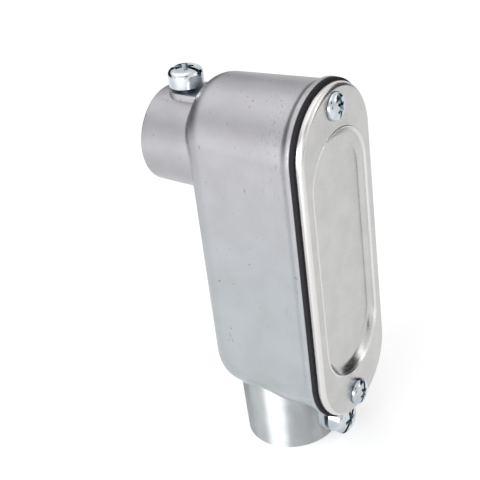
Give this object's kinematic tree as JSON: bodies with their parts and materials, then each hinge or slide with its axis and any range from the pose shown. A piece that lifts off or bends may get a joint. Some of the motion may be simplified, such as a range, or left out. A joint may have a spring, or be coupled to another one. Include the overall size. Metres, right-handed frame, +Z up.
{
  "type": "conduit body",
  "caption": "Angle conduit body with set-screw hubs: joins two tubes at a right angle and opens in front under a gasketed cover.",
  "frame": {"origin": "centre of the bottom hub's mouth", "axes": "+Z up along the long side, away from the bottom hub's mouth; -Y out of the cover; +Y out of the back hub; +X to the right seen from the cover side"},
  "size_m": [0.0316, 0.0502, 0.101],
  "materials": {
    "cast_aluminium": "satin tumbled casting",
    "cover_aluminium": "satin tumbled casting",
    "gasket_rubber": "matt",
    "plated_steel": "bright zinc plating"
  },
  "bodies": {
    "body": {"housing": "cast_aluminium", "gasket": "gasket_rubber"},
    "lid": {"cover": "cover_aluminium"},
    "back_grip": {"back_set_screw": "plated_steel"},
    "bottom_grip": {"bottom_set_screw": "plated_steel"},
    "top_fastener": {"cover_screw_top": "plated_steel"},
    "bottom_fastener": {"cover_screw_bottom": "plated_steel"}
  },
  "joints": [
    {"name": "cover_lift_off", "type": "slide", "parent": "body", "child": "lid", "axis": [0, -1, 0], "range_m": [0, 0.03]},
    {"name": "cover_screw_top_out", "type": "slide", "parent": "lid", "child": "top_fastener", "axis": [0, -1, 0], "range_m": [0, 0.01]},
    {"name": "cover_screw_bottom_out", "type": "slide", "parent": "lid", "child": "bottom_fastener", "axis": [0, -1, 0], "range_m": [0, 0.01]},
    {"name": "back_set_screw_travel", "type": "slide", "parent": "body", "child": "back_grip", "axis": [0, 0, 1], "range_m": [-0.00065, 0.0025]},
    {"name": "bottom_set_screw_travel", "type": "slide", "parent": "body", "child": "bottom_grip", "axis": [0, -1, 0], "range_m": [-0.00065, 0.0025]}
  ]
}
